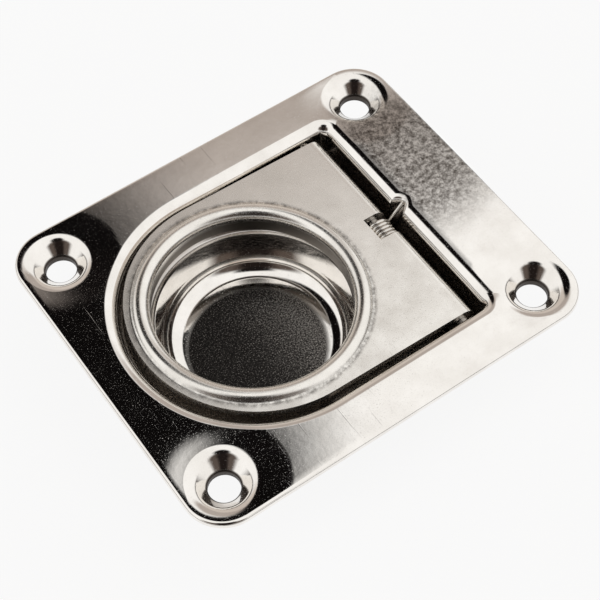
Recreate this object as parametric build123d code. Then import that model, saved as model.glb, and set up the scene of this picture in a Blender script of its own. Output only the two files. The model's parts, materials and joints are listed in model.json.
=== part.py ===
from build123d import *
import os
from math import acos, atan2, cos, degrees, hypot, radians, sin, sqrt, tan

# Spring-closed flush lift ring for a hatch or locker lid, pressed from polished
# stainless sheet.  Millimetres.  The plate lies flat: +Z is out of the deck,
# +X points at the hinge, and the origin is the middle of the four screw holes
# on the flange's underside.

# ---- lift ring: one pressing -----------------------------------------------------
ring_sheet = 1.3             # thickness of the flap
finger_hole_r = 16.9
bead_round = 1.6             # roll from the bead's crest into the collar
bead_rise = 0.85             # crest above the flap
bead_width = 1.8             # crest out to the flat of the flap
flap_rim = 1.7               # flat left beside the bead
flap_length = 26.0           # centre of the flap's round end to the hinge axis
flap_edge_round = 0.3
flap_gap = 0.9               # between the flap and the recess wall
flap_sink = 1.05             # flange top down to the flap, over the hinge
ring_shift = 0.9             # finger hole's centre past that of the flap's round end
closed_tilt = 2.0            # the ring's end lies a little proud when shut
seat_gap = 0.3               # collar lip above the cup's mouth when shut
hinge_roll = 268.0           # how far round the pin the sheet is rolled, degrees

# ---- hinge pin -------------------------------------------------------------------
pin_d = 2.5
pin_play = 0.05              # radial, inside the roll
pin_head_proud = 0.2         # peened end, past the pin's radius
pin_head_height = 0.6
barrel_gap = 1.5             # hinge roll to the wall behind it
trough_gap = 0.35            # hinge roll to the trough's floor

# ---- base plate: one pressing ----------------------------------------------------
sheet = 1.2                  # thickness of the base plate
side_flange = 9.6            # recess wall to the plate's edge, each side
tip_flange = 7.4             # the same beyond the round end
hinge_flange = 15.6          # the same behind the hinge
plate_corner = 7.0           # plan radius of the flange corners
plate_edge_round = 0.7       # blanked top edge, rounded by polishing

hole_inset_x = 7.3           # screw hole centres in from the plate's edges
hole_inset_y = 7.5
screw_hole_d = 5.2
dimple_d = 11.2              # where the dimple's lip leaves the flange
dimple_lip_round = 1.6
dimple_drop = 3.6            # flange top to the pierced end of the dimple
countersink_half_angle = 45.0

recess_corner = 1.2          # plan radius of the two hinge-side corners
shoulder_round = 2.2         # convex bend from flange to wall
floor_round = 1.0            # bend from wall to floor
pan_depth = 4.1              # flange top to the floor round the cup
step_gap = 2.1               # hinge roll to where that floor bends into the trough
step_slope = 60.0            # slope of the step, degrees
step_round = 1.6             # both bends of the step

cup_shift = 0.3              # cup's centre past that of the recess's round end
cup_depth = 13.5             # flange top to the cup's floor
cup_mouth_margin = 2.4       # finger hole to where the floor starts to bend into the cup
cup_mouth_round = 3.0
cup_taper = 4.0              # draft of the cup's wall, degrees
cup_floor_round = 4.0

# ---- torsion spring and the places that hold it ------------------------------------
wire_d = 0.7
coil_pitch = 0.74
coil_r = 2.1                 # to the middle of the wire
coil_turns = 5               # whole turns that show in the window
window_width = 5.0           # window cut through the hinge roll
window_y = 0.25              # middle of the window
window_reach = 2.1           # window's edge in the flap, before the hinge axis
leg_relief = 1.1             # extra width of the window below the pin
wall_leg_inset = 1.0         # wall leg in from the window's edge
wall_leg_run = 1.55          # leg's end past the inner face of the wall
wall_leg_sink = 0.85         # leg's end below the flange top
ring_leg_angle = 200.0       # where the other leg leaves the coil
ring_leg_bend = 1.2
ring_leg_length = 4.0
notch_r = 2.3                # dent for the wall leg, at the flange top
notch_depth = 4.6
notch_offset = 0.2           # dent's axis past the inner face of the wall

# ---- worked out from the sizes above -----------------------------------------------
pin_r = pin_d / 2
bore_r = pin_r + pin_play
barrel_r = bore_r + ring_sheet
wire_r = wire_d / 2

flap_half_width = finger_hole_r + bead_round + bead_width + flap_rim
half_width = flap_half_width + flap_gap
plate_width = 2 * (half_width + side_flange)
recess_length = half_width + flap_length + barrel_r + barrel_gap
plate_length = tip_flange + recess_length + hinge_flange
hole_pitch_x = plate_length - 2 * hole_inset_x
hole_pitch_y = plate_width - 2 * hole_inset_y

top = sheet
tip_x = tip_flange + half_width - plate_length / 2
hinge_x = tip_x + flap_length
hinge_z = top - flap_sink - barrel_r
hinge_wall_x = hinge_x + barrel_r + barrel_gap
trough_depth = flap_sink + 2 * barrel_r + trough_gap
step_x = hinge_x - barrel_r - step_gap
ring_x = tip_x - ring_shift
cup_x = tip_x - cup_shift
cup_mouth_r = finger_hole_r + cup_mouth_margin

window_low_y = window_y - window_width / 2
wall_leg_y = window_low_y + window_width - wall_leg_inset
roof = top + 5.0             # above everything that the recess air has to clear
tiny = 0.001


def side_face(outline):
    """Closed outline in X and Z as an upright face."""
    edges = [edge for piece in outline for edge in piece.edges()]
    return Plane.XZ * make_face(edges)


def d_outline(grow):
    """Plan of the recess: round at the ring's end, square at the hinge."""
    radius = half_width + grow
    end_x = hinge_wall_x + grow
    block = Pos((tip_x + end_x) / 2, 0) * Rectangle(end_x - tip_x, 2 * radius)
    block = fillet(block.vertices().group_by(Axis.X)[-1], recess_corner + grow)
    return block + Pos(tip_x, 0) * Circle(radius)


def floor_profile(grow):
    """Side view of the recess floor: the pan, the step and the hinge trough."""
    upper = top - pan_depth - grow
    lower = top - trough_depth - grow
    crest = step_round - grow
    foot = step_round + grow
    slope = radians(step_slope)
    # the two bends and the straight between them
    bends_drop = (crest + foot) * (1 - cos(slope))
    straight = (upper - lower - bends_drop) / sin(slope)
    crest_x = step_x
    crest_end = (crest_x + crest * sin(slope), upper - crest * (1 - cos(slope)))
    foot_start = (crest_end[0] + straight * cos(slope), crest_end[1] - straight * sin(slope))
    foot_x = foot_start[0] + foot * sin(slope)
    far_left = -plate_length
    far_right = plate_length
    outline = [
        Line((far_left, upper), (crest_x, upper)),
        CenterArc((crest_x, upper - crest), crest, 90, -step_slope),
        Line(crest_end, foot_start),
        CenterArc((foot_x, lower + foot), foot, 270 - step_slope, step_slope),
        Polyline((foot_x, lower), (far_right, lower), (far_right, roof), (far_left, roof), (far_left, upper)),
    ]
    return side_face(outline)


def pan(grow):
    """Air in the recess, or with grow the same air plus the sheet round it."""
    column = extrude(d_outline(grow), amount=plate_width, both=True)
    section = extrude(floor_profile(grow), amount=plate_width, both=True)
    body = column & section
    floor_z = top - pan_depth - grow
    low = body.edges().filter_by(lambda e: e.center().Z < floor_z + tiny)
    step_lines = low.filter_by(Axis.Y).filter_by(lambda e: e.center().X < hinge_wall_x - tiny)
    wall_foot = [e for e in low if e not in step_lines]
    return fillet(wall_foot, floor_round + grow)


def cup(grow):
    mouth = cup_mouth_round - grow
    foot = cup_floor_round + grow
    rim_z = top - pan_depth - grow
    floor_z = top - cup_depth - grow
    draft = radians(cup_taper)
    turn = 90 - cup_taper
    wall_top = (cup_mouth_r - mouth * cos(draft), rim_z - mouth + mouth * sin(draft))
    drop = wall_top[1] - (floor_z + foot - foot * sin(draft))
    wall_foot = (wall_top[0] - drop * tan(draft), wall_top[1] - drop)
    foot_centre = (wall_foot[0] - foot * cos(draft), floor_z + foot)
    outline = [
        Line((0, rim_z), (cup_mouth_r, rim_z)),
        CenterArc((cup_mouth_r, rim_z - mouth), mouth, 90, turn),
        Line(wall_top, wall_foot),
        CenterArc(foot_centre, foot, -cup_taper, -turn),
        Polyline((foot_centre[0], floor_z), (0, floor_z), (0, rim_z)),
    ]
    profile = side_face(outline)
    return Pos(cup_x, 0, 0) * revolve(profile, Axis.Z)


def dimple(grow, end_z):
    """Formed countersink: rounded lip, cone, and a straight end at end_z."""
    lip = dimple_lip_round - grow
    edge_r = dimple_d / 2
    turn = 90 - countersink_half_angle
    slant = radians(countersink_half_angle)
    lip_end = (edge_r - lip * cos(slant), top - dimple_lip_round + lip * sin(slant))
    if grow:
        cone_end = (lip_end[0] - (lip_end[1] - end_z) * tan(slant), end_z)
    else:
        cone_end = (screw_hole_d / 2, lip_end[1] - (lip_end[0] - screw_hole_d / 2) / tan(slant))
    outline = [
        Line((0, top - grow), (edge_r, top - grow)),
        CenterArc((edge_r, top - dimple_lip_round), lip, 90, turn),
        Line(lip_end, cone_end),
        Polyline(cone_end, (cone_end[0], end_z - tiny), (0, end_z - tiny), (0, top - grow)),
    ]
    profile = side_face(outline)
    return revolve(profile, Axis.Z)


def notch(grow):
    """Dent in the hinge-side shoulder that holds the spring's wall leg."""
    half_angle = atan2(notch_r, notch_depth)
    apex_z = top - notch_depth - grow / sin(half_angle)
    height = roof - apex_z
    cone = Cone(0, height * tan(half_angle), height, align=(Align.CENTER, Align.CENTER, Align.MIN))
    return Pos(hinge_wall_x + notch_offset, wall_leg_y, apex_z) * cone


def air_above(grow):
    """All the air over the pressing; grown by the sheet it gives the underside."""
    flange_z = top - grow
    on_flange = (Align.CENTER, Align.CENTER, Align.MIN)
    slab = Box(2 * plate_length, 2 * plate_width, roof - flange_z, align=on_flange)
    air = Pos(0, 0, flange_z) * slab + pan(grow)
    flange = air.faces().filter_by(Axis.Z).sort_by(Axis.Z)[-2]
    air = fillet(flange.inner_wires()[0].edges(), shoulder_round - grow)
    return air + notch(grow) + cup(grow)


def build_base_plate():
    outline = RectangleRounded(plate_length, plate_width, plate_corner)
    blank = Pos(0, 0, top - 2 * cup_depth) * extrude(outline, amount=2 * cup_depth)
    holes = GridLocations(hole_pitch_x, hole_pitch_y, 2, 2)
    plate = blank & air_above(sheet)
    plate += holes * dimple(sheet, top - dimple_drop)
    plate -= air_above(0)
    plate -= holes * dimple(0, -dimple_drop)
    plate -= on_hinge(Cylinder(pin_r, plate_width))
    rim = [e for e in plate.edges().group_by(Axis.Z)[-1] if on_outline(e.center())]
    return fillet(rim, plate_edge_round)


def on_outline(point):
    """True for a point within a corner radius of the plate's outer edge."""
    return abs(point.X) > (plate_length - plate_corner) / 2 or abs(point.Y) > (plate_width - plate_corner) / 2


def on_hinge(part, y=0):
    """Lays a part made round Z along the hinge axis."""
    return Pos(hinge_x, y, hinge_z) * Rot(90, 0, 0) * part


# ---- the ring is drawn round the hinge axis with the flap level, then tilted ------


def flap_face():
    """Flat outline of the flap, up to the line where its hinge roll starts."""
    tip = tip_x - hinge_x
    block = Pos(tip / 2, 0) * Rectangle(-tip, 2 * flap_half_width)
    return block + Pos(tip, 0) * Circle(flap_half_width)


def hinge_roll_section():
    """Sheet rolled round the pin, from the flap's end to the roll's free end."""
    end = radians(90 - hinge_roll)
    outline = [
        CenterArc((0, 0), barrel_r, 90, -hinge_roll),
        Line((barrel_r * cos(end), barrel_r * sin(end)), (bore_r * cos(end), bore_r * sin(end))),
        CenterArc((0, 0), bore_r, 90 - hinge_roll, hinge_roll),
        Line((0, bore_r), (0, barrel_r)),
    ]
    return side_face(outline)


def collar_depth():
    """Drop of the collar that leaves its lip the seat gap above the cup's mouth."""
    lip_x = ring_x + finger_hole_r + ring_sheet
    bend = min(max(cup_mouth_r - (lip_x - cup_x), 0), cup_mouth_round)
    mouth_z = top - pan_depth - cup_mouth_round + sqrt(cup_mouth_round ** 2 - bend ** 2)
    tilt = radians(closed_tilt)
    lip_z = (mouth_z + seat_gap - hinge_z + (lip_x - hinge_x) * sin(tilt)) / cos(tilt)
    return barrel_r - lip_z


def bead_section():
    """Section of the finger hole's edge: bead, roll and collar, out from its axis."""
    level = barrel_r
    under = level - ring_sheet
    crest_r = finger_hole_r + bead_round
    flat_r = crest_r + bead_width
    half_turn = atan2(bead_rise, bead_width)
    turn = degrees(2 * half_turn)
    fillet_r = bead_width / sin(2 * half_turn) - bead_round
    roll_z = level + bead_rise - bead_round
    lip_z = level - collar_depth()
    roll = (crest_r, roll_z)
    sweep_up = (flat_r, level + fillet_r)
    inner_roll = bead_round - ring_sheet
    outer_sweep = fillet_r + ring_sheet
    turn_x = sin(2 * half_turn)
    turn_z = cos(2 * half_turn)
    upper_meet = (crest_r + bead_round * turn_x, roll_z + bead_round * turn_z)
    lower_meet = (crest_r + inner_roll * turn_x, roll_z + inner_roll * turn_z)
    outline = [
        CenterArc(sweep_up, fillet_r, 270, -turn),
        CenterArc(roll, bead_round, 90 - turn, 90 + turn),
        Polyline((finger_hole_r, roll_z), (finger_hole_r, lip_z), (finger_hole_r + ring_sheet, lip_z),
                 (finger_hole_r + ring_sheet, roll_z)),
        CenterArc(roll, inner_roll, 180, -90 - turn),
        CenterArc(sweep_up, outer_sweep, 270 - turn, turn),
        Line((flat_r, under), (flat_r, level)),
    ]
    return side_face(outline), flat_r


def spring_window():
    """Window through the hinge roll, wider below the pin for the spring's leg."""
    height = 3 * barrel_r
    reach = window_reach + 2 * barrel_r
    low_corner = (Align.MIN, Align.MIN, Align.CENTER)
    window = Pos(-window_reach, window_low_y, 0) * Box(reach, window_width, height, align=low_corner)
    corner = (Align.MIN, Align.MIN, Align.MAX)
    width = window_width + leg_relief
    relief = Pos(-2 * barrel_r, window_low_y - leg_relief, 0) * Box(4 * barrel_r, width, height, align=corner)
    return window + relief


def build_flap():
    """Flat of the flap, with its upper edge rounded where it doesn't join the roll."""
    flap = Pos(0, 0, bore_r) * extrude(flap_face(), amount=ring_sheet)
    upper = flap.edges().group_by(Axis.Z)[-1]
    free = upper.filter_by(lambda e: e.center().X < -tiny)
    return fillet(free, flap_edge_round)


def build_hinge_roll():
    roll = extrude(hinge_roll_section(), amount=flap_half_width, both=True)
    ends = roll.edges().filter_by(GeomType.CIRCLE).filter_by(lambda e: abs(e.radius - barrel_r) < tiny)
    return fillet(ends, flap_edge_round)


def build_lift_ring():
    section, flat_r = bead_section()
    centre = Pos(ring_x - hinge_x, 0, 0)
    ring = build_flap() - centre * Cylinder(flat_r, 4 * barrel_r)
    ring += centre * revolve(section, Axis.Z)
    ring += build_hinge_roll()
    ring -= spring_window()
    return Pos(hinge_x, 0, hinge_z) * Rot(0, closed_tilt, 0) * ring


def build_hinge_pin():
    shaft_length = 2 * (half_width + sheet)
    head = Cylinder(pin_r + pin_head_proud, pin_head_height)
    head = fillet(head.edges().group_by(Axis.Z)[-1], pin_head_height / 2)
    pin = Cylinder(pin_r, shaft_length)
    pin += Pos(0, 0, (shaft_length + pin_head_height) / 2) * head
    pin += Pos(0, 0, -(shaft_length + pin_head_height) / 2) * Rot(180, 0, 0) * head
    return on_hinge(pin)


def point_on_coil(angle, y):
    return Vector(hinge_x + coil_r * cos(radians(angle)), y, hinge_z + coil_r * sin(radians(angle)))


def build_torsion_spring():
    """Close-wound coil on the pin, with a leg to the wall and one in the hinge roll."""
    wall_end = Vector(hinge_wall_x + wall_leg_run, wall_leg_y, top - wall_leg_sink)
    reach_x = wall_end.X - hinge_x
    reach_z = wall_end.Z - hinge_z
    leave = degrees(atan2(reach_z, reach_x) - acos(coil_r / hypot(reach_x, reach_z)))
    turns = coil_turns + (leave + 360 - ring_leg_angle) / 360
    start_y = wall_leg_y - turns * coil_pitch
    start = point_on_coil(ring_leg_angle, start_y)
    outward = start - Vector(hinge_x, start_y, hinge_z)
    seat = Plane(origin=(hinge_x, start_y, hinge_z), x_dir=outward, z_dir=(0, 1, 0))
    coil = seat * Helix(coil_pitch, turns * coil_pitch, coil_r, lefthand=True)
    wall_leg = Line(coil @ 1, wall_end)
    # the other leg bends along the pin and lies on the roll's free end
    leaving = (coil % 0) * -1
    elbow_end = start + leaving * ring_leg_bend - Vector(0, ring_leg_bend, 0)
    elbow = TangentArc(start, elbow_end, tangent=leaving)
    ring_leg = Line(elbow @ 1, elbow @ 1 + (elbow % 1) * (ring_leg_length - ring_leg_bend))
    return round_wire(coil) + round_wire(wall_leg) + round_wire(elbow) + round_wire(ring_leg)


def round_wire(path):
    section = Plane(origin=path @ 0, z_dir=path % 0) * Circle(wire_r)
    return sweep(section, path=path, is_frenet=True)


nodes = {
    "base_plate": build_base_plate,
    "lift_ring": build_lift_ring,
    "hinge_pin": build_hinge_pin,
    "torsion_spring": build_torsion_spring,
}

os.makedirs("parts", exist_ok=True)
for node, build in nodes.items():
    solid = build()
    print(node, solid.is_valid, len(solid.solids()), round(solid.volume, 2))
    export_step(solid, f"parts/{node}.step")
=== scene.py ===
import json
import math

import bmesh
import bpy
from mathutils import Matrix, Vector


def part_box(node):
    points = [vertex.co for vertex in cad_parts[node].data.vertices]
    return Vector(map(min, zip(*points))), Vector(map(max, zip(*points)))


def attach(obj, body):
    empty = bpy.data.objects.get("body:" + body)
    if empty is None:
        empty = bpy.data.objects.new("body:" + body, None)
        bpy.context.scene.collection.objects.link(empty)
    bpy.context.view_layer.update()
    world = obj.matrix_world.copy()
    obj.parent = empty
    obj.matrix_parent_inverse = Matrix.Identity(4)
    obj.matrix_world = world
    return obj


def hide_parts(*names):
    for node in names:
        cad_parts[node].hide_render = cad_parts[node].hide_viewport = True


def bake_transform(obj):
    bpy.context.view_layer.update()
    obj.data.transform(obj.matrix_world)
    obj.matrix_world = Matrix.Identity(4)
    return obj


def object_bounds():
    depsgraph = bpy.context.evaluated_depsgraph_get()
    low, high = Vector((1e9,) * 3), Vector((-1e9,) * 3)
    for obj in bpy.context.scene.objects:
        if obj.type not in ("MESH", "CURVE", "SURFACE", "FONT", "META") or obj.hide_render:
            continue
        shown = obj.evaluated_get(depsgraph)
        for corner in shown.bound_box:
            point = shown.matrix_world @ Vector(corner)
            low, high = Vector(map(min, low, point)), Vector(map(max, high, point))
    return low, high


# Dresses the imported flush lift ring: finely rounded pressings, the wound spring,
# the polished-steel finishes, the studio and the camera.  Sizes are millimetres
# until a mesh is finished; the frame's origin is under the flange, mid screw pattern.

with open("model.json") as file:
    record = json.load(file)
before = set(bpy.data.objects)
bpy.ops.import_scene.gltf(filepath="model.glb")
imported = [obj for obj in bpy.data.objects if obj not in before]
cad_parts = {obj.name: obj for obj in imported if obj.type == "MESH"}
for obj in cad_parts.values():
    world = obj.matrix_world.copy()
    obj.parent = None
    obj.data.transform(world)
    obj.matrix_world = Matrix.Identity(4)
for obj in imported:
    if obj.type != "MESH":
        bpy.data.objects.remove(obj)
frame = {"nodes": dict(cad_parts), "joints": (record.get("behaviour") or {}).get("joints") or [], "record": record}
cad_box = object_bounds()
MM = 0.001

# ---- sizes read from the frame ----------------------------------------------------
plate_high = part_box("base_plate")[1] / MM
joint = frame["joints"][0]
hinge_x, hinge_z = joint["pos_m"][0] / MM, joint["pos_m"][2] / MM
screws = frame["record"]["mounts"][0]["dims"]
top = plate_high.z

# ---- sizes of the two pressings ------------------------------------------------------
# These are the sizes of the solids, but for the dimples, the cup's two bends and taper,
# and the dent, which are shaped more softly here, and the fine roundings of edges.
sheet = 1.2
plate_corner = 7.0
plate_edge_round = 0.7
burr_round = 0.2
dimple_r = 6.2
dimple_lip_round = 2.8
dimple_drop = 3.6
pierce_margin = 0.1          # cone's end to the pierced hole
pierce_round = 0.24
pierce_end_round = 0.12

half_width = 22.9
wall_x = 22.4
tip_x = -7.7
recess_corner = 1.2
shoulder_round = 2.2
floor_round = 1.0
pan_depth = 4.1
trough_depth = 6.6
step_x = 13.6
step_slope = math.radians(60)
step_round = 1.6
step_cut_pitch = 0.25        # cuts that let the floor bend down the step
step_cuts = 20
cup_x = -8.0
cup_depth = 13.5
cup_mouth_r = 19.3
cup_mouth_round = 2.4
cup_floor_round = 3.4
cup_taper = 9
dent_y = 1.75
dent_half_width = 1.9
dent_reach = 1.75
dent_rim_reach = 0.8
dent_foot = -3.4             # height where the dent runs out
dent_cut_pitch = 0.2
dent_cuts = 21

ring_sheet = 1.3
flap_half_width = 22.0
ring_x = -8.6
finger_hole_r = 16.9
bead_round = 1.6
bead_rise = 0.85
bead_width = 1.8
collar_depth = 3.58
collar_lip_round = 0.3
closed_tilt = 2
barrel_r = 2.6
hinge_roll = 268
window_low_y = -2.25
window_high_y = 2.75
window_reach = 2.1
leg_relief = 1.1
flap_edge_round = 0.28

wire_r = 0.34
coil_r = 2.1
coil_pitch = 0.74
coil_turns = 5
wall_leg_end = Vector((wall_x + 1.55, 1.75, top - 0.85))
ring_leg_angle = 200
ring_leg_bend = 1.2
ring_leg_length = 4.0

# ---- where the finishes, the painted shade and the painted reflection change ----------
# Each pair is the place where a form or a mask starts and the place where it is full.
dish_depth = 0.27
dish_fade = (4, 11)                          # from each screw
roll_off_depth = 0.16
roll_off_fade = (wall_x + shoulder_round - 1.6, wall_x + shoulder_round + 1.8)
roll_off_side_fade = (half_width - 2, half_width + 1)
roll_off_end_fade = (19, 4)
trough_shade_z_fade = (-0.8, -2)
trough_shade_r_fade = (17, 18)                     # outside the cup
cup_floor_z = top - cup_depth
floor_shade_top_fade = (cup_floor_z + 0.3, cup_floor_z + 0.04)
floor_shade_back_fade = (cup_floor_z - 0.5, cup_floor_z - 0.3)
floor_shade_centre = (cup_x - 0.7, -1)
floor_shade_r_fade = (12.6, 11.7)
sheen_grain_x_fade = (cup_x - 3, cup_x + 12)
sheen_grain_gain = 0.13                            # more grains towards the hinge: a painted reflection, lighter on that side of the floor
hole_shade_r_fade = (screws["hole_r_mm"] + 0.4, screws["hole_r_mm"] + 0.22)
mottle_centre = (30, 9, top)
mottle_fade = (20, 9)
mottle_x_fade = (wall_x + 1.5, wall_x + 2.8)  # keeps the mottle off the shoulder
hollow_r = finger_hole_r + bead_round + bead_width
dark_band_inner_fade = (hollow_r - 0.9, hollow_r - 0.1)
dark_band_outer_fade = (hollow_r + 0.7, hollow_r - 0.1)
underside_shade_z_fade = (-0.9, -2.2)
collar_shade_z_fade = (0.6, -0.6)
collar_shade_r_fade = (finger_hole_r + 1, finger_hole_r + 0.4)


# ---- mesh tools: everything is drawn in millimetres, then shrunk to metres ------------
WELD = 0.002
LEVEL = 0.001
CREASE = 0.7                 # edges sharper than this many radians are shaded sharp


def verts_in(parts):
    return [part for part in parts if isinstance(part, bmesh.types.BMVert)]


def edges_in(parts):
    return [part for part in parts if isinstance(part, bmesh.types.BMEdge)]


def spin(bm, parts, centre, axis, degrees, steps, shift=(0, 0, 0)):
    """Spins a wire round an axis, with a shift at each step, and returns its far end."""
    whole = abs(degrees) == 360
    made = bmesh.ops.spin(bm, geom=parts, cent=centre, axis=axis, angle=math.radians(degrees),
                          steps=steps, dvec=shift, use_merge=whole)
    return made["geom_last"]


def stretch(bm, parts, by):
    """Extrudes a wire along a straight run and returns its far end."""
    made = bmesh.ops.extrude_edge_only(bm, edges=edges_in(parts))["geom"]
    verts = set(verts_in(made))
    bmesh.ops.translate(bm, verts=list(verts), vec=by)
    return list(verts) + [edge for edge in edges_in(made) if verts.issuperset(edge.verts)]


class Section:
    """A cut through the sheet, drawn as a wire: runs are extruded and bends are spun."""

    def __init__(self, bm, x, z, heading, y=0):
        self.bm = bm
        self.heading = heading
        self.end = bm.verts.new((x, y, z))
        self.parts = [self.end]

    def run(self, length, steps=1):
        ahead = math.radians(self.heading)
        step = Vector((math.cos(ahead), 0, math.sin(ahead))) * length / steps
        for _ in range(steps):
            made = bmesh.ops.extrude_vert_indiv(self.bm, verts=[self.end])
            self.end = made["verts"][0]
            bmesh.ops.translate(self.bm, verts=[self.end], vec=step)
            self.parts += made["edges"] + made["verts"]
        return self

    def bend(self, radius, degrees, steps):
        """Turns towards +Z from +X for a positive angle, the other way for a negative."""
        side = math.radians(self.heading + math.copysign(90, degrees))
        centre = self.end.co + Vector((math.cos(side), 0, math.sin(side))) * radius
        for _ in range(steps):
            last = spin(self.bm, [self.end], centre, (0, -1, 0), degrees / steps, 1)
            self.end = verts_in(last)[0]
            self.parts += list(self.end.link_edges) + [self.end]
        self.heading += degrees
        return self


def everything(bm):
    return [*bm.verts, *bm.edges, *bm.faces]


def slice_at(bm, axis, start, pitch, count, wanted):
    """Cuts the faces that are wanted along a row of planes."""
    for i in range(count):
        faces = [face for face in bm.faces if wanted(face.calc_center_median())]
        near = {part for face in faces for part in (face, *face.edges, *face.verts)}
        bmesh.ops.bisect_plane(bm, geom=list(near), plane_co=axis * (start + i * pitch),
                               plane_no=axis)


def fill_level(bm, z):
    """Fills the flat sheet between the open edges that lie at one height."""
    rim = [edge for edge in bm.edges
           if edge.is_boundary and all(abs(vert.co.z - z) < WELD for vert in edge.verts)]
    bmesh.ops.triangle_fill(bm, use_beauty=True, use_dissolve=False, edges=rim)


def merge(bm):
    bmesh.ops.remove_doubles(bm, verts=bm.verts, dist=WELD)


def cap_ends(bm):
    bmesh.ops.holes_fill(bm, edges=[edge for edge in bm.edges if edge.is_boundary], sides=0)


def finish(bm, name, body, material, node_name):
    """Turns the drawing into the piece that stands for a node of the frame."""
    merge(bm)
    bmesh.ops.recalc_face_normals(bm, faces=bm.faces)
    bmesh.ops.scale(bm, verts=bm.verts, vec=(MM, MM, MM))
    for edge in bm.edges:
        edge.smooth = len(edge.link_faces) < 2 or edge.calc_face_angle() < CREASE
    for face in bm.faces:
        face.smooth = True
    mesh = bpy.data.meshes.new(name)
    bm.to_mesh(mesh)
    bm.free()
    mesh.materials.append(material)
    piece = bpy.data.objects.new(name, mesh)
    bpy.context.scene.collection.objects.link(piece)
    piece.modifiers.new("even_normals", "WEIGHTED_NORMAL").keep_sharp = True
    if body:
        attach(piece, body)
    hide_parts(node_name)
    return piece


# ---- the base plate -------------------------------------------------------------------
def trim_rim(bm):
    """The blank's outline and edge: rounded corners, a soft top edge, a fine burr below."""
    blank = bmesh.ops.create_grid(bm, x_segments=1, y_segments=1, size=1)["verts"]
    bmesh.ops.scale(bm, verts=blank, vec=(plate_high.x, plate_high.y, 1))
    rounded = bmesh.ops.bevel(bm, geom=blank, offset=plate_corner, segments=24, profile=0.5,
                              affect="VERTICES", material=-1)
    outline = rounded["faces"] or list(bm.faces)
    thick = bmesh.ops.extrude_face_region(bm, geom=outline[:1], use_keep_orig=True)["geom"]
    upper = verts_in(thick)
    bmesh.ops.translate(bm, verts=upper, vec=(0, 0, top))
    for z, radius, steps in ((top, plate_edge_round, 6), (0, burr_round, 2)):
        rim = [edge for edge in bm.edges
               if all(abs(vert.co.z - z) < LEVEL for vert in edge.verts)]
        bmesh.ops.bevel(bm, geom=rim, offset=radius, segments=steps, profile=0.5, affect="EDGES",
                        material=-1)
    flats = [face for face in bm.faces if len(face.verts) > 50]
    bmesh.ops.delete(bm, geom=flats, context="FACES_ONLY")


def press_recess(bm, grow):
    """Shoulder, wall and floor bend, swept round half of the recess and mirrored."""
    cut = Section(bm, tip_x - half_width - shoulder_round, top - grow, 0)
    cut.bend(shoulder_round - grow, -90, 14)
    cut.run(pan_depth - shoulder_round - floor_round, 10)
    cut.bend(floor_round + grow, 90, 8)
    run_x = wall_x - recess_corner
    run_y = half_width - recess_corner
    far = spin(bm, cut.parts, (tip_x, 0, 0), (0, 0, 1), -90, 56)
    far = stretch(bm, far, (run_x - tip_x, 0, 0))
    far = spin(bm, far, (run_x, run_y, 0), (0, 0, 1), -90, 10)
    stretch(bm, far, (0, -run_y, 0))
    bmesh.ops.mirror(bm, geom=everything(bm), axis="Y", merge_dist=WELD)


def draw_cup(bm, grow):
    """The deep-drawn cup under the finger hole."""
    turn = 90 - cup_taper
    bends = (cup_mouth_round + cup_floor_round) * (1 - math.cos(math.radians(turn)))
    wall = (cup_depth - pan_depth - bends) / math.cos(math.radians(cup_taper))
    cut = Section(bm, cup_x + cup_mouth_r, top - pan_depth - grow, 180)
    cut.bend(cup_mouth_round - grow, turn, 14).run(wall, 4)
    cut.bend(cup_floor_round + grow, -turn, 14)
    cut.run(cut.end.co.x - cup_x, 4)
    spin(bm, cut.parts, (cup_x, 0, 0), (0, 0, 1), 360, 144)


def step_drop(x, grow):
    """How far the hinge trough lies below the pan at x, down its two bends and slope."""
    crest = step_round - grow
    foot = step_round + grow
    deep = trough_depth - pan_depth
    slope = math.tan(step_slope)
    bend_drop = 1 - math.cos(step_slope)
    crest_end = step_x + crest * math.sin(step_slope)
    foot_start = crest_end + (deep - (crest + foot) * bend_drop) / slope
    foot_end = foot_start + foot * math.sin(step_slope)
    if x <= step_x:
        return 0
    if x < crest_end:
        return crest - math.sqrt(crest ** 2 - (x - step_x) ** 2)
    if x < foot_start:
        return crest * bend_drop + (x - crest_end) * slope
    if x < foot_end:
        return deep - foot + math.sqrt(foot ** 2 - (foot_end - x) ** 2)
    return deep


def lower_trough(bm, grow):
    """Steps the floor down to the hinge trough, and stretches the walls after it."""
    bmesh.ops.triangulate(bm, faces=[face for face in bm.faces if len(face.verts) > 4])
    slice_at(bm, Vector((1, 0, 0)), step_x, step_cut_pitch, step_cuts,
             lambda middle: middle.x > -tip_x)
    wall_top = top - shoulder_round
    wall_foot = top - pan_depth + floor_round
    for vert in bm.verts:
        share = min(max((wall_top - vert.co.z) / (wall_top - wall_foot), 0), 1)
        vert.co.z -= share * step_drop(vert.co.x, grow)


def press_dent(bm):
    """Pushes wall and shoulder outwards together where the spring's wall leg rests."""
    first = dent_y - dent_cut_pitch * (dent_cuts - 1) / 2
    slice_at(bm, Vector((0, 1, 0)), first, dent_cut_pitch, dent_cuts,
             lambda middle: middle.x > wall_x - 0.5)
    deepest = top - shoulder_round
    for vert in bm.verts:
        x, y, z = vert.co
        across = abs(y - dent_y) / dent_half_width
        if x < wall_x - 0.1 or across > 1 or x > wall_x + shoulder_round + 0.1:
            continue
        if z > deepest:
            down = min((top - z) / shoulder_round, 1)
            push = dent_rim_reach + (dent_reach - dent_rim_reach) * down
        else:
            push = dent_reach * max((z - dent_foot) / (deepest - dent_foot), 0)
        vert.co.x += push * (1 - across ** 2) ** 2


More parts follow.
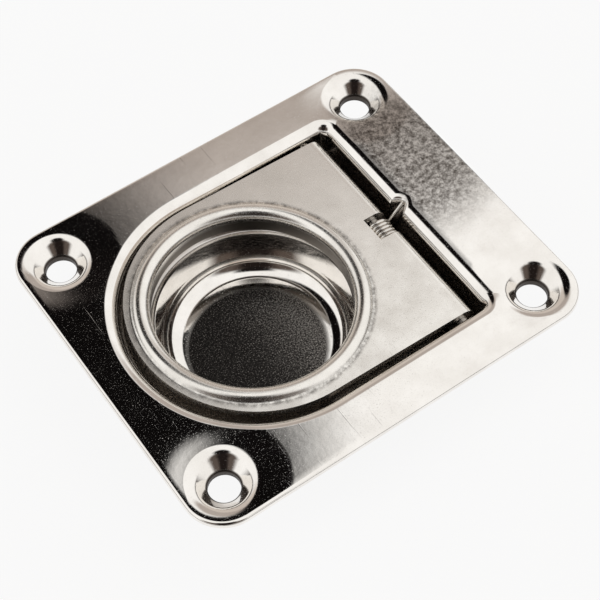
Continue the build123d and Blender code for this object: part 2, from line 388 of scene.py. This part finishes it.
def sink_hole(bm, x, y):
    """A formed countersink at 45 degrees: rolled lip, cone, the pierced hole, its flat end."""
    cut = Section(bm, x + dimple_r, top, 180, y)
    cut.bend(dimple_lip_round, 45, 8)
    hole_r = screws["hole_r_mm"]
    cut.run((cut.end.co.x - x - hole_r - pierce_margin) * math.sqrt(2))
    cut.bend(pierce_round, 45, 3)
    cut.run(cut.end.co.z - top + dimple_drop - pierce_end_round).bend(pierce_end_round, 90, 2)
    lower_lip = dimple_lip_round - sheet
    lip_x = x + dimple_r - lower_lip * math.sin(math.radians(45))
    lip_z = top - dimple_lip_round + lower_lip * math.cos(math.radians(45))
    end_z = cut.end.co.z
    cut.run(lip_x - (lip_z - end_z) - cut.end.co.x)
    cut.heading = 45
    cut.run((lip_z - end_z) * math.sqrt(2)).bend(lower_lip, -45, 3)
    spin(bm, cut.parts, (x, y, 0), (0, 0, 1), 360, 72)


def build_base_plate(material):
    bm = bmesh.new()
    trim_rim(bm)
    for sx in (-1, 1):
        for sy in (-1, 1):
            sink_hole(bm, sx * screws["spacing_x_mm"] / 2, sy * screws["spacing_y_mm"] / 2)
    for grow in (0, sheet):
        skin = bmesh.new()
        press_recess(skin, grow)
        draw_cup(skin, grow)
        merge(skin)
        fill_level(skin, top - pan_depth - grow)
        lower_trough(skin, grow)
        press_dent(skin)
        pressed = bpy.data.meshes.new("skin")
        skin.to_mesh(pressed)
        skin.free()
        bm.from_mesh(pressed)
        bpy.data.meshes.remove(pressed)
    fill_level(bm, top)
    fill_level(bm, 0)
    return finish(bm, "plate_pressing", "plate", material, "base_plate")


# ---- the lift ring, drawn round the hinge axis with the flap level --------------------
def roll_bead(bm):
    """The raised bead round the finger hole and the collar that lines it."""
    half_turn = math.atan2(bead_rise, bead_width)
    turn = math.degrees(2 * half_turn)
    hollow = bead_width / math.sin(2 * half_turn) - bead_round
    flat_r = finger_hole_r + bead_round + bead_width
    cut = Section(bm, ring_x - hinge_x + flat_r, barrel_r, 180)
    cut.bend(hollow, -turn, 10).bend(bead_round, turn + 90, 20)
    collar = cut.end.co.z - barrel_r + collar_depth - collar_lip_round
    cut.run(collar, 3).bend(collar_lip_round, 90, 4)
    cut.run(ring_sheet - 2 * collar_lip_round).bend(collar_lip_round, 90, 4)
    cut.run(collar, 3).bend(bead_round - ring_sheet, -turn - 90, 10)
    cut.bend(hollow + ring_sheet, turn, 10)
    spin(bm, cut.parts, (ring_x - hinge_x, 0, 0), (0, 0, 1), 360, 160)


def trim_flap(bm):
    """The flap's cut edge: round tip, straight sides and the spring's window."""
    tip = tip_x - hinge_x
    edge = Section(bm, tip - flap_half_width, barrel_r, 270).run(ring_sheet).parts
    far = spin(bm, edge, (tip, 0, 0), (0, 0, 1), -90, 56)
    stretch(bm, far, (-tip, 0, 0))
    edge = Section(bm, tip - flap_half_width, barrel_r, 270).run(ring_sheet).parts
    far = spin(bm, edge, (tip, 0, 0), (0, 0, 1), 90, 56)
    stretch(bm, far, (-tip, 0, 0))
    edge = Section(bm, 0, barrel_r, 270, window_high_y).run(ring_sheet).parts
    far = stretch(bm, edge, (-window_reach, 0, 0))
    far = stretch(bm, far, (0, window_low_y - window_high_y, 0))
    stretch(bm, far, (window_reach, 0, 0))


def roll_barrel(bm, low_y, high_y, degrees):
    """Part of the sheet's width, rolled round the pin; both ends are left open."""
    wire = bmesh.ops.create_grid(bm, x_segments=1, y_segments=1, size=0.5)["verts"]
    bmesh.ops.delete(bm, geom=list(wire[0].link_faces), context="FACES_ONLY")
    upright = Matrix.Rotation(math.pi / 2, 3, "Y")
    bmesh.ops.rotate(bm, verts=wire, cent=(0, 0, 0), matrix=upright)
    bmesh.ops.scale(bm, verts=wire, vec=(1, high_y - low_y, ring_sheet))
    middle = (0, (low_y + high_y) / 2, barrel_r - ring_sheet / 2)
    bmesh.ops.translate(bm, verts=wire, vec=middle)
    parts = wire + list({edge for vert in wire for edge in vert.link_edges})
    spin(bm, parts, (0, 0, 0), (0, 1, 0), degrees, round(degrees / 4))


def build_lift_ring(material):
    bm = bmesh.new()
    roll_bead(bm)
    trim_flap(bm)
    ledge_y = window_low_y - leg_relief
    roll_barrel(bm, window_high_y, flap_half_width, hinge_roll)
    roll_barrel(bm, -flap_half_width, ledge_y, hinge_roll)
    roll_barrel(bm, ledge_y, window_low_y, 90)
    merge(bm)
    shared = [face for face in bm.faces if face.calc_center_median().z > 0
              and all(abs(vert.co.y - ledge_y) < LEVEL for vert in face.verts)]
    bmesh.ops.delete(bm, geom=shared, context="FACES_ONLY")
    bmesh.ops.delete(bm, geom=[edge for edge in bm.edges if edge.is_wire], context="EDGES")
    fill_level(bm, barrel_r)
    fill_level(bm, barrel_r - ring_sheet)
    cap_ends(bm)
    bmesh.ops.recalc_face_normals(bm, faces=bm.faces)
    sharp = [edge for edge in bm.edges
             if len(edge.link_faces) == 2 and edge.calc_face_angle() > 0.8]
    bmesh.ops.bevel(bm, geom=sharp, offset=flap_edge_round, segments=3, profile=0.5,
                    affect="EDGES", clamp_overlap=True, material=-1)
    closed = Matrix.Rotation(math.radians(closed_tilt), 3, "Y")
    bmesh.ops.rotate(bm, verts=bm.verts, cent=(0, 0, 0), matrix=closed)
    bmesh.ops.translate(bm, verts=bm.verts, vec=(hinge_x, 0, hinge_z))
    return finish(bm, "ring_pressing", "ring", material, "lift_ring")


# ---- the spring -----------------------------------------------------------------------
def on_coil(degrees, y):
    """Middle of the wire at an angle round the pin."""
    a = math.radians(degrees)
    return Vector((hinge_x + coil_r * math.cos(a), y, hinge_z + coil_r * math.sin(a)))


def build_spring(material):
    """Wound from one wire: a leg in the hinge roll, the coil, a straight leg in the dent."""
    reach = Vector((wall_leg_end.x - hinge_x, wall_leg_end.z - hinge_z))
    leave = math.degrees(math.atan2(reach.y, reach.x) - math.acos(coil_r / reach.length))
    turned = leave - ring_leg_angle + 360 * (coil_turns + 1)
    rise = turned / 360 * coil_pitch
    begin = on_coil(ring_leg_angle, wall_leg_end.y - rise)
    steps = round(turned / 6)
    bm = bmesh.new()
    wire = bmesh.ops.create_circle(bm, cap_ends=False, radius=wire_r, segments=20)["verts"]
    along = Matrix.Rotation(math.radians(-ring_leg_angle), 3, "Y")
    bmesh.ops.rotate(bm, verts=wire, cent=(0, 0, 0), matrix=along)
    bmesh.ops.translate(bm, verts=wire, vec=begin)
    parts = wire + list({edge for vert in wire for edge in vert.link_edges})
    far = spin(bm, parts, (hinge_x, 0, hinge_z), (0, -1, 0), turned, steps, (0, rise / steps, 0))
    stretch(bm, far, wall_leg_end - on_coil(leave, wall_leg_end.y))
    away = (begin - on_coil(ring_leg_angle + 0.1, begin.y)).normalized()
    elbow = begin - Vector((0, ring_leg_bend, 0))
    far = spin(bm, parts, elbow, Vector((0, 1, 0)).cross(away), 90, 12)
    stretch(bm, far, (0, ring_leg_bend - ring_leg_length, 0))
    cap_ends(bm)
    spring = finish(bm, "wound_spring", None, material, "torsion_spring")
    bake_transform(spring)


# ---- finishes -------------------------------------------------------------------------
def linear(hex_colour):
    """A hex screen colour as the linear values that a shader takes."""
    values = []
    for i in (0, 2, 4):
        c = int(hex_colour[i:i + 2], 16) / 255
        values.append(c / 12.92 if c <= 0.04045 else ((c + 0.055) / 1.055) ** 2.4)
    return (*values, 1)


def node(tree, kind, *ordered, **named):
    """Adds a shader node: capitalised names are sockets, the others are its settings."""
    made = tree.nodes.new("ShaderNode" + kind)
    sockets = dict(enumerate(ordered))
    for name, value in named.items():
        if name[0].islower():
            setattr(made, name, value)
        else:
            sockets[name.replace("_", " ")] = value
    for name, value in sockets.items():
        if isinstance(value, bpy.types.NodeSocket):
            tree.links.new(value, made.inputs[name])
        else:
            made.inputs[name].default_value = value
    return made


def per_mm(size):
    """Texture scale that makes one feature of a pattern this many millimetres."""
    return 1 / (size * MM)


def metres(lengths):
    return [length * MM for length in lengths]


def from_axis(tree, place, x, y=0):
    """Distance of a point from an upright axis at x, y millimetres."""
    level = node(tree, "VectorMath", place, (1, 1, 0), operation="MULTIPLY")
    return node(tree, "VectorMath", level.outputs[0], (x * MM, y * MM, 0),
                operation="DISTANCE").outputs["Value"]


def from_screw(tree, place):
    """Distance of a point from the nearest screw: folding X and Y makes the four one."""
    folded = node(tree, "VectorMath", place, operation="ABSOLUTE")
    nearest = (screws["spacing_x_mm"] / 2 * MM, screws["spacing_y_mm"] / 2 * MM, 0)
    return node(tree, "VectorMath", folded.outputs[0], nearest,
                operation="DISTANCE").outputs["Value"]


def plate_form(tree, place):
    """Faint forms left by the press: dishes round the screws, a roll-off by the hinge wall."""
    dish = node(tree, "MapRange", from_screw(tree, place), *metres(dish_fade),
                interpolation_type="SMOOTHSTEP")
    out = node(tree, "SeparateXYZ", place).outputs["X"]
    roll_off = node(tree, "MapRange", out, *metres(roll_off_fade),
                    interpolation_type="SMOOTHSTEP")
    folded = node(tree, "VectorMath", place, operation="ABSOLUTE")
    aside = node(tree, "SeparateXYZ", folded.outputs[0]).outputs["Y"]
    beside = node(tree, "MapRange", aside, *metres(roll_off_side_fade),
                  interpolation_type="SMOOTHSTEP")
    roll_off = node(tree, "Math", roll_off.outputs[0], beside.outputs[0], operation="MAXIMUM")
    elsewhere = node(tree, "MapRange", out, *metres(roll_off_end_fade))
    roll_off = node(tree, "Math", roll_off.outputs[0], elsewhere.outputs[0], operation="MAXIMUM")
    return (dish.outputs[0], dish_depth), (roll_off.outputs[0], roll_off_depth)


def plate_zones(tree, place):
    """Where the plate is not mirror bright: the rougher drawn walls of the trough, painted
    darker with depth as painted shade; the cup's floor that no wheel reached, rougher and
    painted near black as painted shade, with light grains, more of them towards +X as a
    painted reflection; a ring of painted shade round each screw hole, on its rougher punched
    wall; a darker cloudy mottle painted on the flange by the hinge."""
    spot = node(tree, "SeparateXYZ", place)
    out, height = spot.outputs["X"], spot.outputs["Z"]
    # Painted shade: the colour darkens (A8A19A) deep in the trough, outside the cup, where the drawn walls are
    # also rougher.
    deep = node(tree, "MapRange", height, *metres(trough_shade_z_fade))
    beyond = node(tree, "MapRange", from_axis(tree, place, cup_x), *metres(trough_shade_r_fade))
    trough = node(tree, "Math", deep.outputs[0], beyond.outputs[0], operation="MULTIPLY")

    # Painted shade: the cup's floor, which no wheel reached, is painted near black (2B2928) and made rougher.
    low = node(tree, "MapRange", height, *metres(floor_shade_top_fade))
    skin = node(tree, "MapRange", height, *metres(floor_shade_back_fade))
    floor = node(tree, "Math", low.outputs[0], skin.outputs[0], operation="MULTIPLY")
    floor_shade_reach = node(tree, "MapRange", from_axis(tree, place, *floor_shade_centre),
               *metres(floor_shade_r_fade))
    floor = node(tree, "Math", floor.outputs[0], floor_shade_reach.outputs[0], operation="MULTIPLY")
    # Light grains (BDB8B2) on the painted-dark floor; more of them towards +X is a painted reflection.
    sand = node(tree, "TexNoise", Vector=place, Scale=per_mm(0.22), Detail=3, Roughness=0.65)
    sheen_denser = node(tree, "MapRange", out, *metres(sheen_grain_x_fade), 0, sheen_grain_gain)
    sand = node(tree, "Math", sand.outputs["Fac"], sheen_denser.outputs[0])
    sparkle = node(tree, "MapRange", sand.outputs[0], 0.55, 0.76)
    grains = node(tree, "Math", floor.outputs[0], sparkle.outputs[0], operation="MULTIPLY")

    # Painted shade: a dark ring (4A4440) round each screw hole, on its rougher punched wall.
    level = node(tree, "VectorMath", place, (1, 1, 0), operation="MULTIPLY")
    sheared_shade = node(tree, "MapRange", from_screw(tree, level.outputs[0]),
                   *metres(hole_shade_r_fade))

    # A darker cloudy mottle (4E4741) painted on the flange by the hinge, off the shoulder, with added roughness.
    off = node(tree, "VectorMath", place, metres(mottle_centre), operation="DISTANCE")
    near = node(tree, "MapRange", off.outputs["Value"], *metres(mottle_fade),
                interpolation_type="SMOOTHSTEP")
    flat = node(tree, "MapRange", out, *metres(mottle_x_fade))
    near = node(tree, "Math", near.outputs[0], flat.outputs[0], operation="MULTIPLY")
    cloud = node(tree, "TexNoise", Vector=place, Scale=per_mm(0.9), Detail=7, Roughness=0.85)
    cloudy = node(tree, "MapRange", cloud.outputs["Fac"], 0.4, 0.6, 0.3, 1)
    mottle = node(tree, "Math", near.outputs[0], cloudy.outputs[0], operation="MULTIPLY")
    return ((trough.outputs[0], "A8A19A", 0.18), (floor.outputs[0], "2B2928", 0.2),
            (grains.outputs[0], "BDB8B2", 0.05), (sheared_shade.outputs[0], "4A4440", 0.25),
            (mottle.outputs[0], "4E4741", 0.12))


def ring_zones(tree, place):
    """Where the ring is duller and painted darker: the collar and underside, rougher and painted
    darker as painted shade, and a patchy dark band painted in the hollow round the bead."""
    height = node(tree, "SeparateXYZ", place).outputs["Z"]
    far = from_axis(tree, place, ring_x)
    # Painted shade: the ring's underside and the inside of its collar are painted darker (857E77) and made
    # rougher.
    low = node(tree, "MapRange", height, *metres(underside_shade_z_fade))
    collar = node(tree, "MapRange", height, *metres(collar_shade_z_fade))
    inside = node(tree, "MapRange", far, *metres(collar_shade_r_fade))
    collar_shade = node(tree, "Math", collar.outputs[0], inside.outputs[0], operation="MULTIPLY")
    under = node(tree, "Math", low.outputs[0], collar_shade.outputs[0], operation="MAXIMUM")
    # A patchy dark band (3A332F) painted in the hollow round the bead, with added roughness.
    rise = node(tree, "MapRange", far, *metres(dark_band_inner_fade),
                interpolation_type="SMOOTHSTEP")
    fall = node(tree, "MapRange", far, *metres(dark_band_outer_fade),
                interpolation_type="SMOOTHSTEP")
    band = node(tree, "Math", rise.outputs[0], fall.outputs[0], operation="MULTIPLY")
    band_noise = node(tree, "TexNoise", Vector=place, Scale=per_mm(1.1), Detail=5, Roughness=0.75)
    patchy = node(tree, "MapRange", band_noise.outputs["Fac"], 0.38, 0.62, 0.05, 0.7)
    dark_hollow_band = node(tree, "Math", band.outputs[0], patchy.outputs[0], operation="MULTIPLY")
    return (under.outputs[0], "857E77", 0.1), (dark_hollow_band.outputs[0], "3A332F", 0.2)


def nothing_more(tree, place):
    return ()


def polished_steel(name, bright, roughness, relief, speck, zones=nothing_more, form=nothing_more):
    """Polished stainless: slow waves of the pressing, orange peel, haze, pits and scratches.

    bright: the two shades the haze drifts between.  relief: depths in mm of the waves,
    the peel and the scratches.  speck: roughness added in the pits.  zones: masks of
    duller places and of painted shade and reflection, with their colour and added
    roughness.  form: heights, with their depths in mm, of broad forms under the polish.
    """
    material = bpy.data.materials.new(name)
    material.use_nodes = True
    tree = material.node_tree
    shader = tree.nodes["Principled BSDF"]
    shader.inputs["Metallic"].default_value = 1
    place = node(tree, "TexCoord").outputs["Object"]
    haze = node(tree, "TexNoise", Vector=place, Scale=per_mm(6), Detail=5, Roughness=0.6)
    haze = haze.outputs["Fac"]
    tint = node(tree, "MapRange", haze, 0.35, 0.7)
    colour = node(tree, "MixRGB", tint.outputs[0], linear(bright[0]), linear(bright[1]))
    rough = node(tree, "MapRange", haze, 0.35, 0.75, roughness[0], roughness[1])
    pits = node(tree, "TexNoise", Vector=place, Scale=per_mm(0.24), Detail=2, Roughness=0.5)
    pitted = node(tree, "MapRange", pits.outputs["Fac"], 0.58, 0.76, 0, speck)
    rough = node(tree, "Math", rough.outputs[0], pitted.outputs[0])
    for mask, shade, rougher in zones(tree, place):
        colour = node(tree, "MixRGB", mask, colour.outputs[0], linear(shade))
        rough = node(tree, "Math", mask, rougher, rough.outputs[0], operation="MULTIPLY_ADD")
    tree.links.new(colour.outputs[0], shader.inputs["Base Color"])
    tree.links.new(rough.outputs[0], shader.inputs["Roughness"])

    slow = node(tree, "TexNoise", Vector=place, Scale=per_mm(16), Detail=1, Roughness=0.3)
    peel = node(tree, "TexNoise", Vector=place, Scale=per_mm(1.3), Detail=3, Roughness=0.55)
    turned = node(tree, "Mapping", Vector=place, Rotation=(0, 0, 0.9), Scale=(1, 0.03, 1))
    lines = node(tree, "TexNoise", Vector=turned.outputs[0], Scale=per_mm(0.5), Detail=2)
    scratch = node(tree, "MapRange", lines.outputs["Fac"], 0.68, 0.8)
    normal = None
    for height, depth in (*form(tree, place), (slow.outputs["Fac"], relief[0]),
                          (peel.outputs["Fac"], relief[1]), (scratch.outputs[0], relief[2])):
        bump = node(tree, "Bump", Height=height, Distance=depth * MM)
        if normal:
            tree.links.new(normal.outputs[0], bump.inputs["Normal"])
        normal = bump
    tree.links.new(normal.outputs[0], shader.inputs["Normal"])
    return material


# ---- studio ---------------------------------------------------------------------------
FLOOR_GAP = 0.02 * MM        # keeps the part's underside clear of the paper
FLOOR_GLOW = 0.88            # share of plain white in the paper, to the eye and in mirrors


def build_floor():
    """Pale paper that takes the part's shadow."""
    mesh = bpy.data.meshes.new("table_top")
    bm = bmesh.new()
    bmesh.ops.create_grid(bm, x_segments=1, y_segments=1, size=2)
    bmesh.ops.translate(bm, verts=bm.verts, vec=(0, 0, cad_box[0][2] - FLOOR_GAP))
    bm.to_mesh(mesh)
    bm.free()
    floor = bpy.data.objects.new("table_top", mesh)
    bpy.context.scene.collection.objects.link(floor)
    paper = bpy.data.materials.new("white_paper")
    paper.use_nodes = True
    tree = paper.node_tree
    shader = tree.nodes["Principled BSDF"]
    shader.inputs["Base Color"].default_value = linear("F4F4F4")
    shader.inputs["Roughness"].default_value = 0.9
    white = node(tree, "Emission", Color=linear("FFFFFF"), Strength=1)
    path = node(tree, "LightPath")
    through = node(tree, "Math", path.outputs["Is Glossy Ray"],
                   path.outputs["Is Transmission Ray"])
    direct = node(tree, "Math", path.outputs["Is Camera Ray"], through.outputs["Value"])
    seen = node(tree, "Math", direct.outputs["Value"], FLOOR_GLOW, operation="MULTIPLY")
    mixed = node(tree, "MixShader", seen.outputs["Value"], shader.outputs["BSDF"],
                 white.outputs["Emission"])
    tree.links.new(mixed.outputs["Shader"], tree.nodes["Material Output"].inputs["Surface"])
    mesh.materials.append(paper)


# The studio overhead, as seen from the part and flattened round the zenith: each card's
# middle and half size towards +X and +Y, its turn in degrees, its soft edge and shade.
CARDS = {
    "pale_wall_beyond": ((0.30, 0.64), (0.50, 0.24), 0, 0.35, "CFC5BC"),
    "brown_screen": ((0.30, 0.40), (0.27, 0.135), 4, 0.3, "B4AAA3"),
    "tall_black_flag": ((-0.03, 0.34), (0.172, 0.21), 0, 0.2, "0F0C0C"),
    "wide_black_flag": ((0.045, 0.24), (0.105, 0.095), 8, 0.22, "0B0909"),
    "figure_by_the_camera": ((-0.28, -0.42), (0.46, 0.25), -34, 0.25, "5C524C"),
    "dark_coat": ((-0.30, -0.44), (0.18, 0.26), -34, 0.4, "211B19"),
    "camera_body": ((-0.13, -0.20), (0.12, 0.12), -34, 0.3, "1A1615"),
}
DARK_SKIRTING = (0.76, 0.94, "4A423D")


def build_world():
    """A white studio with a few cards hung in it; the camera sees plain white."""
    world = bpy.data.worlds.new("studio")
    bpy.context.scene.world = world
    world.use_nodes = True
    tree = world.node_tree
    towards = node(tree, "TexCoord").outputs["Generated"]
    parts = node(tree, "SeparateXYZ", towards)
    above = node(tree, "Math", parts.outputs["Z"], 1.0001, operation="ADD")
    thrice = node(tree, "CombineXYZ", above.outputs[0], above.outputs[0], above.outputs[0])
    flat = node(tree, "VectorMath", towards, thrice.outputs[0], operation="DIVIDE")
    level = node(tree, "VectorMath", flat.outputs[0], (1, 1, 0), operation="MULTIPLY")
    out_from_zenith = node(tree, "VectorMath", level.outputs[0], operation="LENGTH")
    low = node(tree, "MapRange", out_from_zenith.outputs["Value"], *DARK_SKIRTING[:2],
               interpolation_type="SMOOTHSTEP")
    colour = node(tree, "MixRGB", low.outputs[0], linear("FFFEFC"), linear(DARK_SKIRTING[2]))
    for middle, half, turn, edge, shade in CARDS.values():
        card = node(tree, "Mapping", flat.outputs[0], (*middle, 0), (0, 0, math.radians(turn)),
                    (*half, 1), vector_type="TEXTURE")
        level = node(tree, "VectorMath", card.outputs[0], (1, 1, 0), operation="MULTIPLY")
        away = node(tree, "VectorMath", level.outputs[0], operation="LENGTH")
        mask = node(tree, "MapRange", away.outputs["Value"], 1 + edge, 1 - edge,
                    interpolation_type="SMOOTHSTEP")
        colour = node(tree, "MixRGB", mask.outputs[0], colour.outputs[0], linear(shade))
    path = node(tree, "LightPath")
    seen = node(tree, "MixRGB", path.outputs["Is Camera Ray"], colour.outputs[0], (1, 1, 1, 1))
    tree.links.new(seen.outputs[0], tree.nodes["Background"].inputs["Color"])


def build_camera():
    """Looks down from beyond the -X, -Y corner, more from the -Y side, with a slight roll."""
    target = Vector((-2.28, -4.84, top)) * MM
    azimuth, elevation, roll = (math.radians(a) for a in (33.86, 56.58, 1.42))
    distance = 250.2 * MM
    flat = math.cos(elevation)
    towards = Vector((math.sin(azimuth) * flat, math.cos(azimuth) * flat, -math.sin(elevation)))
    data = bpy.data.cameras.new("camera")
    data.sensor_width = 36
    data.lens = 91.28
    data.clip_start = 0.01
    camera = bpy.data.objects.new("camera", data)
    aim = towards.to_track_quat("-Z", "Y").to_matrix().to_4x4()
    level = Matrix.Translation(target - towards * distance)
    camera.matrix_world = level @ aim @ Matrix.Rotation(-roll, 4, "Z")
    bpy.context.scene.collection.objects.link(camera)
    bpy.context.scene.camera = camera


build_camera()
build_world()
build_floor()
# The plate is buffed to a mirror: it shows the studio's cards, with a little haze.
mirror_polish = polished_steel(
    "mirror_polished_plate", bright=("F8F5F1", "ECE8E3"), roughness=(0.04, 0.09),
    relief=(0.02, 0.0035, 0.004), speck=0.25, zones=plate_zones, form=plate_form)
build_base_plate(mirror_polish)
# The ring is only satin polished, so its flap is a soft even grey beside the plate.
satin_polish = polished_steel(
    "satin_polished_ring", bright=("F6F3EE", "EAE6E0"), roughness=(0.18, 0.27),
    relief=(0.02, 0.003, 0.004), speck=0.2, zones=ring_zones)
build_lift_ring(satin_polish)
# Bright drawn spring wire: fine bright turns with dark between them.
spring_wire = polished_steel(
    "bright_spring_wire", bright=("E6E2DC", "CFCAC4"), roughness=(0.06, 0.12),
    relief=(0, 0.001, 0.001), speck=0.1)
build_spring(spring_wire)
# Plain drawn rod, greyer and blurred, seen only at the window and the ends of the roll.
drawn_rod = polished_steel(
    "drawn_pin_steel", bright=("B8B4AF", "A29D98"), roughness=(0.22, 0.34),
    relief=(0, 0.002, 0.003), speck=0.1)
pin = frame["nodes"]["hinge_pin"]
pin.data.materials.clear()
pin.data.materials.append(drawn_rod)
bpy.context.scene.view_settings.view_transform = "Standard"
